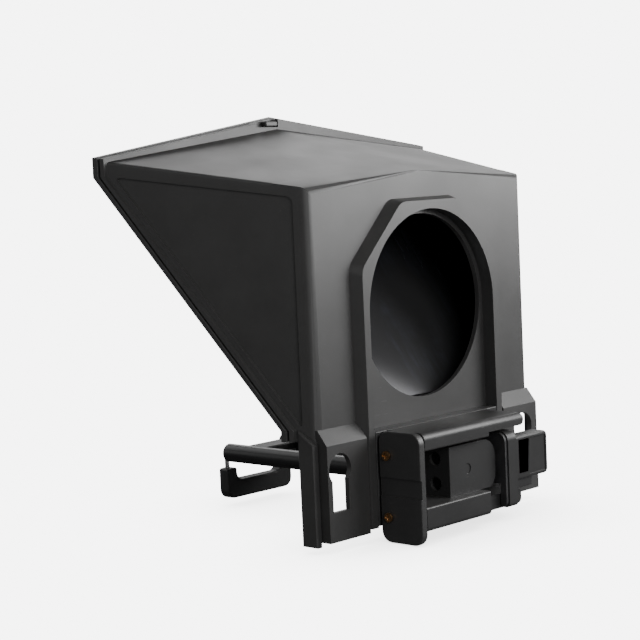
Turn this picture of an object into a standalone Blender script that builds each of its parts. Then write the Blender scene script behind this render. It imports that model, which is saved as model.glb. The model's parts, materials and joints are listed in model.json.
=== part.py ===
"""Compact camera teleprompter: hood, beam-splitter glass, sprung device cradle and phone clamp.

Units are metres. X runs across the hood, +Y points to the camera side, -Y to the presenter, +Z is up.
Every piece is modelled in the hood's own frame, whose y = 0 is the outer face of the rear wall and
whose z = 0 is the underside of the two feet. One empty then moves the whole assembly, so that the
origin is the middle of the floor that it covers, level with the lowest point.
"""
import math

import bmesh
import bpy
from mathutils import Vector

# ---- frame -------------------------------------------------------------------------------------
REAR_WALL_Y = 0.0474          # rear wall's outer face, from the origin
FEET_Z = 0.0049               # underside of the feet above the lowest point
GAP = 0.0003                  # clearance between pieces that touch
COLLECTION = "teleprompter"
ALONG_X = Vector((1.0, 0.0, 0.0))
ALONG_Y = Vector((0.0, 1.0, 0.0))
ALONG_Z = Vector((0.0, 0.0, 1.0))

# ---- hood: a flared box with a gabled roof ------------------------------------------------------
REAR_HALF_WIDTH = 0.0810
SIDE_FLARE = 0.377            # growth of the half width per metre towards the front
EAVES_REAR_Z = 0.1644
EAVES_RISE = 0.165            # rise of the roof's edges per metre towards the front
RIDGE_REAR_Z = 0.1693
RIDGE_RISE = 0.2547
HOOD_SECTIONS = 7
SIDE_WALL = 0.0024
HOOD_FLOOR = 0.0024
REAR_WALL = 0.0040
HOOD_BOTTOM_Z = 0.0472
REAR_EDGE_ROUND = 0.0034
ROOF_EDGE_ROUND = 0.0012
PANEL_DEPTH = 0.0013           # how deep the triangular panels are sunk in the sides
PANEL_CORNERS = [(-0.0925, 0.1728), (-0.0068, 0.1604), (-0.0068, 0.0525)]

# ---- slanted front edge, as seen from the side --------------------------------------------------
FRONT_Y = -0.1015
SLANT_TOP_Z = 0.1730
SLANT_FOOT_Y = -0.0158
SLANT_FOOT_Z = 0.0523
BEZEL_DEPTH = 0.0026
RIM_GROOVE = 0.0010
LIP_DEPTH = 0.0020
LIP_OUT_SIDE = 0.0020
LIP_OUT_EAVES = 0.0015
LIP_OUT_RIDGE = 0.0052
BEZEL_BORDER = 0.0085
BEZEL_SILL_Z = 0.0610
LATCH_X = (-0.0004, 0.0082)
LATCH_FLOOR_Z = 0.1947
LATCH_TOP_Z = 0.1979

# ---- pad, adapter slot and lens opening in the rear wall -----------------------------------------
PAD_HEIGHT = 0.0057
PAD_HALF_WIDTH = 0.0515
PAD_TOP_Z = 0.1550
PAD_CHAMFER = 0.0300
PAD_CORNER_ROUND = 0.0090
PAD_DRAFT = 0.0035
COLUMN_HALF_WIDTH = 0.0535
COLUMN_BOTTOM_Z = 0.0016
LENS_Z = 0.1035
LENS_RADIUS = 0.0450
SLOT_RADIUS = 0.04735
SLOT_FLOOR_Y = -0.0015

# ---- feet ---------------------------------------------------------------------------------------
FOOT_FACE_Y = 0.0055
FOOT_FRONT_Y = -0.0006
FOOT_SHOULDER_Z = 0.0455
FOOT_LEDGE_Z = 0.0525
FOOT_WALL = 0.0026
WINDOW_LEFT_X = 0.0725
WINDOW_RIGHT_X = -0.0690
WINDOW_Z = 0.0338
WINDOW_RADIUS = 0.0075
WINDOW_SLOT_HALF = 0.0055
WINDOW_SILL_Z = 0.0140
SIDE_PLATE_X = 0.0853
SIDE_PLATE_FRONT_Y = -0.0087
SIDE_PLATE_REAR_Y = 0.0006
SIDE_PLATE_BOTTOM_Z = -0.0020
SIDE_PLATE_TOP_Z = 0.0528
SIDE_PLATE_SHOULDER_Z = 0.0460
SIDE_SCREW_Y = -0.0105
SIDE_SCREW_Z = 0.0580

# ---- glass --------------------------------------------------------------------------------------
GLASS_THICK = 0.0015
GASKET_THICK = 0.0014
GLASS_TOP_Z = 0.1690
GLASS_BOTTOM_Z = 0.0545
CLIP_LENGTH = 0.0090

# ---- device cradle ------------------------------------------------------------------------------
TUBE_X = 0.0212
TUBE_Z = 0.0238
TUBE_RADIUS = 0.00485
TUBE_BORE = 0.0036
TUBE_FRONT_Y = -0.1215
TUBE_REAR_Y = -0.0060
ROD_RADIUS = 0.0012
ROD_INNER_Y = -0.0300
ROD_BEND_Y = -0.1237
ROD_BEND_RADIUS = 0.0024
BUSH_LENGTH = 0.0080
COLLAR_LENGTH = 0.0060
SPRING_WIRE = 0.0003           # radius of the wire of all four springs
RETURN_COIL_RADIUS = 0.0026
RETURN_TURNS = 13
JAW_COIL_RADIUS = 0.0023
JAW_TURNS = 6
HOOK_HALF_WIDTH = 0.0243
HOOK_REAR_Y = -0.1203
HOOK_DEPTH = 0.0068
HOOK_BOTTOM_Z = -0.0010
HOOK_BAR_Z = 0.0085
HOOK_BOSS_Z = 0.0153
HOOK_BOSS_WIDTH = 0.0073
HOOK_ROUND = 0.0048

# ---- phone clamp --------------------------------------------------------------------------------
CLAMP_LEFT_X = 0.0470
CLAMP_PLATE = 0.0040
CLAMP_FRONT_Y = 0.0070
CLAMP_REAR_Y = 0.0323
CLAMP_BOTTOM_Z = -0.0049
CLAMP_TOP_Z = 0.0482
CLAMP_CORNER = 0.0055
RAIL_REAR_Y = 0.0320
BACK_PLATE_Y = 0.0062
BACK_PLATE_THICK = 0.0038
FOOT_PLATE_BOTTOM_Z = 0.0022
FOOT_PLATE_TOP_Z = 0.0476
RAIL_END_X = -0.0340
LOW_RAIL_END_X = -0.0385
RAIL_CORNER = 0.0026           # rounding of the rails' free ends
RAIL_STEP_X = -0.0060
TOP_RAIL_Z = 0.0395
TOP_RAIL_TOP_Z = 0.0480
TOP_RAIL_STEP_Z = 0.0418
LOW_RAIL_BOTTOM_Z = 0.0013
LOW_RAIL_Z = 0.0130
LOW_RAIL_STEP_Y = 0.0258
RAIL_SCREW_XY = (-0.0086, 0.0238)
LOW_RAIL_STEP_Z = 0.0084
TONGUE_HALF_X = 0.0178
TONGUE_FACE_Y = 0.0260
TONGUE_BOTTOM_Z = 0.0130
TONGUE_TOP_Z = 0.0372
JAW_FACE_X = -0.0220
JAW_THICK = 0.0070
JAW_BOTTOM_Z = 0.0017
JAW_TOP_Z = 0.0397
JAW_FRONT_Y = 0.0130
JAW_REAR_Y = 0.0312
GRIP_END_X = -0.0556
GRIP_FRONT_Y = 0.0215
GRIP_BOTTOM_Z = 0.0142
GRIP_TOP_Z = 0.0360
GRIP_RECESS = 0.0005           # depth of the bordered face on the grip
GUIDE_Y = 0.0172
GUIDE_HEIGHTS = {"lower": 0.0190, "upper": 0.0312}
GUIDE_RADIUS = 0.0014
GUIDE_END_X = 0.0164
COLLAR_RADIUS = 0.0030
SPRING_SEAT_X = -0.0010
SCREW_HEAD_RADIUS = 0.0023
SHANK_RADIUS = 0.0012
SCREW_HEIGHTS = {"lower": 0.0074, "upper": 0.0368}
SCREW_Y = 0.0124

# ---- finishes: colour, roughness, metallic --------------------------------------------------------
FINISHES = {
    "hood_plastic": ((0.030, 0.030, 0.032), 0.52, 0.0),
    "bezel_plastic": ((0.024, 0.024, 0.026), 0.45, 0.0),
    "beam_splitter": ((0.55, 0.60, 0.62), 0.03, 0.0),
    "foam": ((0.015, 0.015, 0.015), 0.95, 0.0),
    "black_tube": ((0.022, 0.022, 0.024), 0.32, 0.9),
    "bright_steel": ((0.72, 0.72, 0.73), 0.22, 1.0),
    "brass": ((0.72, 0.48, 0.22), 0.30, 1.0),
    "grip_rubber": ((0.018, 0.018, 0.019), 0.80, 0.0),
    "clamp_plastic": ((0.027, 0.027, 0.029), 0.42, 0.0),
}


# ---- helpers --------------------------------------------------------------------------------------
def clear_scene():
    """Remove every object, so that the script gives the same result in any file."""
    for old in list(bpy.data.objects):
        bpy.data.objects.remove(old, do_unlink=True)


def make_collection(name):
    """Make a collection in the scene."""
    group = bpy.data.collections.new(name)
    bpy.context.scene.collection.children.link(group)
    return group


def finish_material(name):
    """Make one Principled material from the finishes table."""
    colour, roughness, metallic = FINISHES[name]
    material = bpy.data.materials.new(name)
    material.use_nodes = True
    shader = material.node_tree.nodes["Principled BSDF"]
    shader.inputs["Base Color"].default_value = (*colour, 1.0)
    shader.inputs["Roughness"].default_value = roughness
    shader.inputs["Metallic"].default_value = metallic
    return material


def add_object(name, mesh, cutter=False):
    """Put a mesh in the scene as a part or as a cutter, under the assembly's empty."""
    piece = bpy.data.objects.new(name, mesh)
    piece.parent = ASSEMBLY
    if cutter:
        CUTTERS.objects.link(piece)
        piece.hide_render = True
        piece.display_type = "WIRE"
    else:
        PARTS.objects.link(piece)
    return piece


def finish(piece, finish_name, smooth_angle=35.0):
    """Give a part its own material and shade its round stretches smooth."""
    piece.data.materials.clear()
    piece.data.materials.append(finish_material(finish_name))
    piece.data.shade_smooth()
    piece.data.set_sharp_from_angle(angle=math.radians(smooth_angle))
    return piece


def mesh_from(build, name):
    """Make a mesh data block from a bmesh, with its faces turned outwards."""
    bmesh.ops.recalc_face_normals(build, faces=build.faces)
    if build.calc_volume(signed=True) < 0.0:
        bmesh.ops.reverse_faces(build, faces=build.faces)
    mesh = bpy.data.meshes.new(name)
    build.to_mesh(mesh)
    build.free()
    return mesh


def box(name, low, high, cutter=False, rounding=0.0, segments=2):
    """Make a box between two corners, with all its edges rounded if asked."""
    build = bmesh.new()
    bmesh.ops.create_cube(build, size=1.0)
    low = Vector(low)
    high = Vector(high)
    for vert in build.verts:
        vert.co = Vector(low[i] + (high[i] - low[i]) * (vert.co[i] + 0.5) for i in range(3))
    if rounding:
        bmesh.ops.bevel(build, geom=build.edges[:], offset=rounding, segments=segments, affect="EDGES",
                        profile=0.5, clamp_overlap=True)
    return add_object(name, mesh_from(build, name), cutter)


def cylinder(name, centre, radius, length, direction, cutter=False, segments=32):
    """Make a cylinder about a point, along a direction."""
    build = bmesh.new()
    bmesh.ops.create_cone(build, cap_ends=True, segments=segments, radius1=radius, radius2=radius,
                          depth=length)
    rotation = ALONG_Z.rotation_difference(direction).to_matrix()
    for vert in build.verts:
        vert.co = rotation @ vert.co + Vector(centre)
    return add_object(name, mesh_from(build, name), cutter)


def prism(name, outline, axis, start, end, cutter=False, rounding=0.0, segments=2):
    """Extrude a flat outline along X or Y, with the long edges of its two ends rounded if asked."""
    build = bmesh.new()
    place = {"X": lambda a, b: Vector((start, a, b)), "Y": lambda a, b: Vector((a, start, b))}[axis]
    face = build.faces.new([build.verts.new(place(a, b)) for a, b in outline])
    push = {"X": Vector((end - start, 0, 0)), "Y": Vector((0, end - start, 0))}[axis]
    made = bmesh.ops.extrude_face_region(build, geom=[face])
    moved = [item for item in made["geom"] if isinstance(item, bmesh.types.BMVert)]
    bmesh.ops.translate(build, verts=moved, vec=push)
    if rounding:
        ends = [edge for edge in build.edges
                if abs((edge.verts[0].co - edge.verts[1].co).dot(push)) < 1e-12]
        bmesh.ops.bevel(build, geom=ends, offset=rounding, segments=segments, affect="EDGES",
                        profile=0.5, clamp_overlap=True)
    return add_object(name, mesh_from(build, name), cutter)


def rounded(corners, radii, steps=4):
    """Round the corners of an outline, each with its own radius, by arcs of the given steps."""
    points = []
    count = len(corners)
    for index, corner in enumerate(corners):
        here = Vector(corner)
        radius = radii[index]
        if not radius:
            points.append(here)
            continue
        to_last = (Vector(corners[index - 1]) - here).normalized()
        to_next = (Vector(corners[(index + 1) % count]) - here).normalized()
        half = to_last.angle(to_next) / 2
        reach = radius / math.tan(half)
        centre = here + (to_last + to_next).normalized() * (radius / math.sin(half))
        first = here + to_last * reach - centre
        last = here + to_next * reach - centre
        for step in range(steps + 1):
            points.append(centre + first.slerp(last, step / steps).normalized() * radius)
    return [(point.x, point.y) for point in points]


def cut(piece, cutter, operation="DIFFERENCE"):
    """Add a Boolean with another object."""
    modifier = piece.modifiers.new(cutter.name, "BOOLEAN")
    modifier.operation = operation
    modifier.object = cutter
    modifier.solver = "EXACT"


def mirror_outline(half):
    """Complete an outline that starts and ends on the middle line."""
    return half + [(-x, z) for x, z in reversed(half) if abs(x) > 1e-9]


# ---- hood geometry ----------------------------------------------------------------------------------
def half_width(y, out=0.0):
    """Half width of the hood at a depth."""
    return REAR_HALF_WIDTH - SIDE_FLARE * y + out


def flared_solid(name, rear_y, front_y, bottom_z, side_out=0.0, eaves_out=0.0, ridge_out=0.0, cutter=True,
                 edge_rounds=False):
    """Loft the gabled section of the hood from one depth to another."""
    build = bmesh.new()
    rings = []
    for step in range(HOOD_SECTIONS):
        y = rear_y + (front_y - rear_y) * step / (HOOD_SECTIONS - 1)
        wide = half_width(y, side_out)
        eaves = EAVES_REAR_Z - EAVES_RISE * y + eaves_out
        ridge = RIDGE_REAR_Z - RIDGE_RISE * y + ridge_out
        section = [(-wide, bottom_z), (wide, bottom_z), (wide, eaves), (0.0, ridge), (-wide, eaves)]
        rings.append([build.verts.new((x, y, z)) for x, z in section])
    count = len(rings[0])
    for first, second in zip(rings, rings[1:]):
        for index in range(count):
            after = (index + 1) % count
            build.faces.new((first[index], first[after], second[after], second[index]))
    build.faces.new(rings[0])
    build.faces.new(rings[-1])
    if edge_rounds:
        round_hood_edges(build, rear_y)
    return add_object(name, mesh_from(build, name), cutter)


def round_hood_edges(build, rear_y):
    """Round the rear wall's edges and, more finely, the edges between the roof and the sides."""
    def on_side(edge):
        return all(abs(abs(v.co.x) - half_width(v.co.y)) < 1e-6 for v in edge.verts)

    def at_eaves(edge):
        return all(abs(v.co.z - (EAVES_REAR_Z - EAVES_RISE * v.co.y)) < 1e-6 for v in edge.verts)

    def at_rear(edge):
        return all(abs(v.co.y - rear_y) < 1e-6 for v in edge.verts)

    rear = [e for e in build.edges if at_rear(e) and max(v.co.z for v in e.verts) > HOOD_BOTTOM_Z + 0.01]
    bmesh.ops.bevel(build, geom=rear, offset=REAR_EDGE_ROUND, segments=3, affect="EDGES", profile=0.5)
    eaves = [e for e in build.edges if on_side(e) and at_eaves(e) and not at_rear(e)]
    bmesh.ops.bevel(build, geom=eaves, offset=ROOF_EDGE_ROUND, segments=2, affect="EDGES", profile=0.5)


def slant_path(shift, top_z, bottom_z):
    """Side outline of the slanted front edge, moved back by a shift."""
    return [(FRONT_Y + shift, top_z), (FRONT_Y + shift, SLANT_TOP_Z),
            (SLANT_FOOT_Y + shift, SLANT_FOOT_Z), (SLANT_FOOT_Y + shift, bottom_z)]


def slant_band(name, near, far, cutter=True):
    """Solid band between two copies of the slanted outline, across the whole width."""
    top = 0.215
    outline = slant_path(near, top, HOOD_BOTTOM_Z) + slant_path(far, top, HOOD_BOTTOM_Z)[::-1]
    return prism(name, outline, "X", -0.14, 0.14, cutter)


def slab(name, near, far):
    """Cutter slab parallel to the slanted edge, between two distances behind it."""
    along = Vector((SLANT_FOOT_Y - FRONT_Y, SLANT_FOOT_Z - SLANT_TOP_Z)).normalized()
    back = Vector((-along.y, along.x))
    start = Vector((FRONT_Y, SLANT_TOP_Z))
    share_top = (GLASS_TOP_Z - SLANT_TOP_Z) / along.y
    share_low = (GLASS_BOTTOM_Z - SLANT_TOP_Z) / along.y
    corners = [start + along * share_top + back * near, start + along * share_low + back * near,
               start + along * share_low + back * far, start + along * share_top + back * far]
    return prism(name, [(c.x, c.y) for c in corners], "X", -0.14, 0.14, cutter=False)


# ---- hood parts ---------------------------------------------------------------------------------------
def lens_pad(name, half, top, chamfer, y_face, half_base, top_base, y_base):
    """Loft the raised pad from its drafted base to its face."""
    def outline(half_x, top_z):
        corners = [(0.0, top_z), (half_x - chamfer, top_z), (half_x, top_z - chamfer),
                   (half_x, COLUMN_BOTTOM_Z)]
        arcs = rounded(corners + [(0.0, COLUMN_BOTTOM_Z)], [0, PAD_CORNER_ROUND, PAD_CORNER_ROUND, 0, 0])
        return mirror_outline(arcs)

    build = bmesh.new()
    loops = []
    for half_x, top_z, y in ((half, top, y_face), (half_base, top_base, y_base)):
        ring = [build.verts.new((x, y, z)) for x, z in outline(half_x, top_z)]
        loops.append(ring)
        build.faces.new(ring)
    count = len(loops[0])
    for index in range(count):
        after = (index + 1) % count
        build.faces.new((loops[0][index], loops[0][after], loops[1][after], loops[1][index]))
    return add_object(name, mesh_from(build, name), cutter=True)


def foot_outline(inner):
    """Side outline of a foot, or of the hollow inside it."""
    if inner:
        face = FOOT_FACE_Y - FOOT_WALL
        roof = HOOD_BOTTOM_Z + 0.0004
        return [(-0.0200, -0.0080), (face, -0.0080), (face, FOOT_SHOULDER_Z - 0.0010), (0.0010, roof),
                (-0.0200, roof)]
    return [(FOOT_FRONT_Y, 0.0), (FOOT_FACE_Y, 0.0), (FOOT_FACE_Y, FOOT_SHOULDER_Z), (0.0, FOOT_LEDGE_Z),
            (-REAR_WALL, FOOT_LEDGE_Z), (-REAR_WALL, HOOD_BOTTOM_Z + 0.0010), (FOOT_FRONT_Y,
                                                                               HOOD_BOTTOM_Z + 0.0010)]


def build_hood_shell():
    """Make the one-piece hood: roof, flared sides, rear wall with its pad and slot, and the feet."""
    shell = flared_solid("hood_shell", 0.0, FRONT_Y + BEZEL_DEPTH + GAP, HOOD_BOTTOM_Z, cutter=False,
                         edge_rounds=True)
    behind = BEZEL_DEPTH + GAP
    front_waste = prism("front_waste", [(-0.20, 0.25)] + slant_path(behind, 0.25, 0.02) + [(-0.20, 0.02)],
                        "X", -0.16, 0.16, cutter=True)
    cut(shell, front_waste)
    lip_front = behind + RIM_GROOVE
    lip = slant_band("lip_band", lip_front, lip_front + LIP_DEPTH)
    envelope = flared_solid("lip_envelope", 0.0, -0.125, HOOD_BOTTOM_Z, LIP_OUT_SIDE, LIP_OUT_EAVES,
                            LIP_OUT_RIDGE)
    cut(lip, envelope, "INTERSECT")
    cut(shell, lip, "UNION")
    column = box("rear_column", (-COLUMN_HALF_WIDTH, -REAR_WALL, COLUMN_BOTTOM_Z),
                 (COLUMN_HALF_WIDTH, 0.0005, 0.0600), True)
    cut(shell, column, "UNION")
    for side, sign in (("left", 1), ("right", -1)):
        block = prism(f"foot_block_{side}", foot_outline(False), "X", sign * 0.0530,
                      sign * REAR_HALF_WIDTH, True)
        cut(shell, block, "UNION")
    cavity = flared_solid("hood_cavity", -REAR_WALL, -0.130, 0.0300, -SIDE_WALL, -SIDE_WALL, -SIDE_WALL)
    keep_feet = box("cavity_limit", (-0.16, -0.16, 0.0200), (0.16, 0.01, HOOD_BOTTOM_Z + HOOD_FLOOR),
                    True)
    cut(cavity, keep_feet)
    cut(shell, cavity)
    pad = lens_pad("lens_pad", PAD_HALF_WIDTH, PAD_TOP_Z, PAD_CHAMFER, PAD_HEIGHT,
                   PAD_HALF_WIDTH + PAD_DRAFT, PAD_TOP_Z + PAD_DRAFT / 2, -0.0008)
    cut(shell, pad, "UNION")
    for side, sign in (("left", 1), ("right", -1)):
        hollow = prism(f"foot_hollow_{side}", foot_outline(True), "X", sign * 0.0560,
                       sign * (REAR_HALF_WIDTH - FOOT_WALL), True)
        cut(shell, hollow)
    for side, middle_x in (("left", WINDOW_LEFT_X), ("right", WINDOW_RIGHT_X)):
        cut(shell, prism(f"foot_window_{side}", window_outline(middle_x), "Y", 0.0, 0.0100, True))
    slot_outline = [(SLOT_RADIUS * math.cos(a), LENS_Z + SLOT_RADIUS * math.sin(a))
                    for a in (math.pi * step / 40 for step in range(41))]
    slot = prism("adapter_slot", slot_outline + [(-SLOT_RADIUS, -0.0100), (SLOT_RADIUS, -0.0100)], "Y",
                 SLOT_FLOOR_Y, 0.0200, True)
    cut(shell, slot)
    cut(shell, cylinder("lens_hole", (0, 0, LENS_Z), LENS_RADIUS, 0.03, ALONG_Y, True, 72))
    panel = prism("side_panels", rounded(PANEL_CORNERS, [0.0012, 0.0030, 0.0010], 3), "X", -0.14, 0.14,
                  True)
    cut(panel, flared_solid("panel_floor", 0.01, -0.125, 0.01, -PANEL_DEPTH, 0.01, 0.01))
    cut(shell, panel)
    notch = box("latch_notch", (LATCH_X[0] - 0.0006, FRONT_Y + behind, LATCH_FLOOR_Z),
                (LATCH_X[1] + 0.0074, FRONT_Y + 0.0080, 0.22), True)
    cut(shell, notch)
    return finish(shell, "hood_plastic", 25)


def window_outline(middle_x):
    """Keyhole window of a foot: a round hole with a slot below it."""
    rise = math.sqrt(WINDOW_RADIUS ** 2 - WINDOW_SLOT_HALF ** 2)
    start = -math.atan2(rise, WINDOW_SLOT_HALF)
    sweep = math.pi - 2 * start
    arc = [start + sweep * step / 20 for step in range(21)]
    points = [(middle_x + WINDOW_RADIUS * math.cos(a),
               WINDOW_Z + WINDOW_RADIUS * math.sin(a)) for a in arc]
    return points + [(middle_x - WINDOW_SLOT_HALF, WINDOW_SILL_Z),
                     (middle_x + WINDOW_SLOT_HALF, WINDOW_SILL_Z)]


def build_front_bezel():
    """Make the frame that closes the slanted front and holds the glass against the hood."""
    bezel = slant_band("front_bezel", 0.0, BEZEL_DEPTH, cutter=False)
    cut(bezel, flared_solid("bezel_envelope", 0.0, -0.125, HOOD_BOTTOM_Z, LIP_OUT_SIDE, LIP_OUT_EAVES,
                            LIP_OUT_RIDGE),
        "INTERSECT")
    cut(bezel, flared_solid("bezel_opening", 0.01, -0.140, BEZEL_SILL_Z, -BEZEL_BORDER, -BEZEL_BORDER,
                            -BEZEL_BORDER))
    return finish(bezel, "bezel_plastic")


def build_glass():
    """Make the beam-splitter glass, the foam gasket in front of it and its four clips."""
    depth = (BEZEL_DEPTH + GAP) * math.sin(math.atan2(SLANT_TOP_Z - SLANT_FOOT_Z, SLANT_FOOT_Y - FRONT_Y))
    inner = flared_solid("glass_envelope", 0.02, -0.125, 0.0300, -SIDE_WALL - GAP, -SIDE_WALL - GAP,
                         -SIDE_WALL - GAP)
    gasket = slab("glass_gasket", depth, depth + GASKET_THICK)
    cut(gasket, inner, "INTERSECT")
    opening = flared_solid("gasket_opening", 0.02, -0.140, BEZEL_SILL_Z, -BEZEL_BORDER, -BEZEL_BORDER,
                           -BEZEL_BORDER)
    cut(gasket, opening)
    finish(gasket, "foam")
    near = depth + GASKET_THICK + GAP
    glass = slab("beam_splitter_glass", near, near + GLASS_THICK)
    cut(glass, inner, "INTERSECT")
    finish(glass, "beam_splitter")
    build_glass_clips(near + GLASS_THICK + GAP)


def build_glass_clips(distance):
    """Make the clips that press the glass forwards from behind, two on each side."""
    along = Vector((SLANT_FOOT_Y - FRONT_Y, SLANT_FOOT_Z - SLANT_TOP_Z)).normalized()
    back = Vector((-along.y, along.x))
    for row, share in (("upper", 0.25), ("lower", 0.75)):
        middle = Vector((FRONT_Y, SLANT_TOP_Z)).lerp(Vector((SLANT_FOOT_Y, SLANT_FOOT_Z)), share)
        front = middle + back * distance
        corners = [front - along * CLIP_LENGTH / 2, front + along * CLIP_LENGTH / 2,
                   front + along * CLIP_LENGTH / 2 + back * 0.0030,
                   front - along * CLIP_LENGTH / 2 + back * 0.0030]
        wall = half_width(max(c.x for c in corners), -SIDE_WALL - GAP)
        for side, sign in (("left", 1), ("right", -1)):
            clip = prism(f"glass_clip_{row}_{side}", [(c.x, c.y) for c in corners], "X",
                         sign * (wall - 0.0055), sign * (wall - 0.0002))
            finish(clip, "bezel_plastic")


def build_frame_latch():
    """Make the latch that ties the bezel to the hood at the ridge."""
    latch = box("frame_latch", (LATCH_X[0], FRONT_Y + BEZEL_DEPTH + GAP, LATCH_FLOOR_Z + GAP),
                (LATCH_X[1], FRONT_Y + BEZEL_DEPTH + GAP + 0.0034, LATCH_TOP_Z), rounding=0.0007)
    return finish(latch, "bezel_plastic")


def build_side_plate():
    """Make the plate on the outer side of the left foot."""
    outline = [(SIDE_PLATE_FRONT_Y, SIDE_PLATE_BOTTOM_Z), (SIDE_PLATE_REAR_Y, SIDE_PLATE_BOTTOM_Z),
               (SIDE_PLATE_REAR_Y, SIDE_PLATE_SHOULDER_Z), (SIDE_PLATE_FRONT_Y, SIDE_PLATE_TOP_Z)]
    plate = prism("side_plate", outline, "X", REAR_HALF_WIDTH + GAP, SIDE_PLATE_X, rounding=0.0007)
    cut(plate, flared_solid("side_plate_clearance", 0.01, -0.05, HOOD_BOTTOM_Z - GAP, GAP, 0.0, 0.0))
    return finish(plate, "hood_plastic")


def build_side_screw(shell):
    """Make the screw in the right side wall, just above the foot, square to the wall."""
    outward = Vector((-1.0, SIDE_FLARE, 0.0)).normalized()
    seat = Vector((-half_width(SIDE_SCREW_Y), SIDE_SCREW_Y, SIDE_SCREW_Z))
    screw = cylinder("side_screw", seat + outward * (GAP + 0.0008), 0.0030, 0.0016, outward, segments=24)
    shank = cylinder("side_screw_shank", seat - outward * 0.0010, SHANK_RADIUS, 0.0036, outward, True, 16)
    cut(screw, shank, "UNION")
    cut(shell, cylinder("side_screw_bore", seat - outward * 0.0024, SHANK_RADIUS + GAP, 0.0100, outward,
                        True, 16))
    return finish(screw, "black_tube")


# ---- cradle parts ----------------------------------------------------------------------------------------
def tube_solid(name, x, z, outer, inner, rear_y, front_y, finish_name, segments=32):
    """Make a straight tube along Y."""
    middle = (rear_y + front_y) / 2
    length = abs(rear_y - front_y)
    piece = cylinder(name, (x, middle, z), outer, length, ALONG_Y, segments=segments)
    bore = cylinder(f"{name}_bore", (x, middle, z), inner, length + 0.002, ALONG_Y, True, segments)
    cut(piece, bore)
    return finish(piece, finish_name)


def rod_points(x):
    """Centre line of a rod: straight out of its tube, a quarter bend, and down into the hook."""
    points = [Vector((x, ROD_INNER_Y, TUBE_Z))]
    centre = Vector((x, ROD_BEND_Y + ROD_BEND_RADIUS, TUBE_Z - ROD_BEND_RADIUS))
    for step in range(7):
        angle = math.radians(90 + 15 * step)
        points.append(centre + Vector((0, math.cos(angle), math.sin(angle))) * ROD_BEND_RADIUS)
    points.append(Vector((x, ROD_BEND_Y, HOOK_BAR_Z)))
    return points


def wire_mesh(name, points, radius, resolution=3):
    """Turn a poly line with a round section into a closed mesh object."""
    curve = bpy.data.curves.new(name, "CURVE")
    curve.dimensions = "3D"
    curve.bevel_depth = radius
    curve.bevel_resolution = resolution
    curve.use_fill_caps = True
    spline = curve.splines.new("POLY")
    spline.points.add(len(points) - 1)
    for point, place in zip(spline.points, points):
        point.co = (*place, 1.0)
    guide = bpy.data.objects.new(f"{name}_path", curve)
    PARTS.objects.link(guide)
    bpy.context.view_layer.update()
    mesh = bpy.data.meshes.new_from_object(guide.evaluated_get(bpy.context.evaluated_depsgraph_get()))
    bpy.data.objects.remove(guide, do_unlink=True)
    build = bmesh.new()
    build.from_mesh(mesh)
    bmesh.ops.remove_doubles(build, verts=build.verts, dist=1e-6)
    bpy.data.meshes.remove(mesh)
    return add_object(name, mesh_from(build, name))


def spring_points(x, z, start_y, end_y, radius, turns, steps=8):
    """Centre line of a coil spring along Y."""
    total = turns * steps
    points = []
    for step in range(total + 1):
        angle = 2 * math.pi * step / steps
        y = start_y + (end_y - start_y) * step / total
        points.append(Vector((x + radius * math.cos(angle), y, z + radius * math.sin(angle))))
    return points


def build_cradle_side(side, sign):
    """Make one side of the cradle: tube, bush, rod, collar and return spring."""
    x = sign * TUBE_X
    tube = tube_solid(f"cradle_tube_{side}", x, TUBE_Z, TUBE_RADIUS, TUBE_BORE, TUBE_REAR_Y,
                      TUBE_FRONT_Y, "black_tube")
    bush_front = TUBE_FRONT_Y + 0.0004
    tube_solid(f"tube_bush_{side}", x, TUBE_Z, TUBE_BORE - GAP, ROD_RADIUS + GAP,
               bush_front + BUSH_LENGTH, bush_front,
               "bezel_plastic", 24)
    rod = wire_mesh(f"hook_rod_{side}", rod_points(x), ROD_RADIUS)
    finish(rod, "bright_steel")
    collar_rear = ROD_INNER_Y + GAP
    collar = cylinder(f"rod_collar_{side}", (x, collar_rear - COLLAR_LENGTH / 2, TUBE_Z), TUBE_BORE - GAP,
                      COLLAR_LENGTH, ALONG_Y, segments=24)
    cut(collar, cylinder(f"rod_collar_{side}_bore", (x, collar_rear - COLLAR_LENGTH / 2, TUBE_Z),
                         ROD_RADIUS + 0.00015,
                         COLLAR_LENGTH + 0.002, ALONG_Y, True, 24))
    finish(collar, "bright_steel")
    spring_start = collar_rear - COLLAR_LENGTH - 0.0009
    spring_end = bush_front + BUSH_LENGTH + 0.0009
    spring = wire_mesh(f"return_spring_{side}", spring_points(x, TUBE_Z, spring_start, spring_end,
                                                              RETURN_COIL_RADIUS, RETURN_TURNS),
                       SPRING_WIRE, 1)
    finish(spring, "bright_steel")
    return tube


def build_cradle_mount():
    """Make the block that carries both tubes behind the rear wall."""
    mount = box("cradle_mount", (-0.0290, -0.0190, 0.0172), (0.0290, -REAR_WALL - GAP, 0.0304),
                rounding=0.0012)
    for side, sign in (("left", 1), ("right", -1)):
        cut(mount, cylinder(f"mount_bore_{side}", (sign * TUBE_X, -0.02, TUBE_Z), TUBE_RADIUS + GAP,
                            0.06, ALONG_Y, True))
    return finish(mount, "hood_plastic")


def build_cross_plate():
    """Make the plate that joins the two tubes near their front ends."""
    plate = box("cradle_cross_plate", (-0.0185, -0.1210, 0.0212), (0.0185, -0.1080, 0.0257),
                rounding=0.0008)
    for side, sign in (("left", 1), ("right", -1)):
        cut(plate, cylinder(f"plate_saddle_{side}", (sign * TUBE_X, -0.115, TUBE_Z), TUBE_RADIUS + GAP,
                            0.05, ALONG_Y, True))
    return finish(plate, "bezel_plastic")


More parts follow.
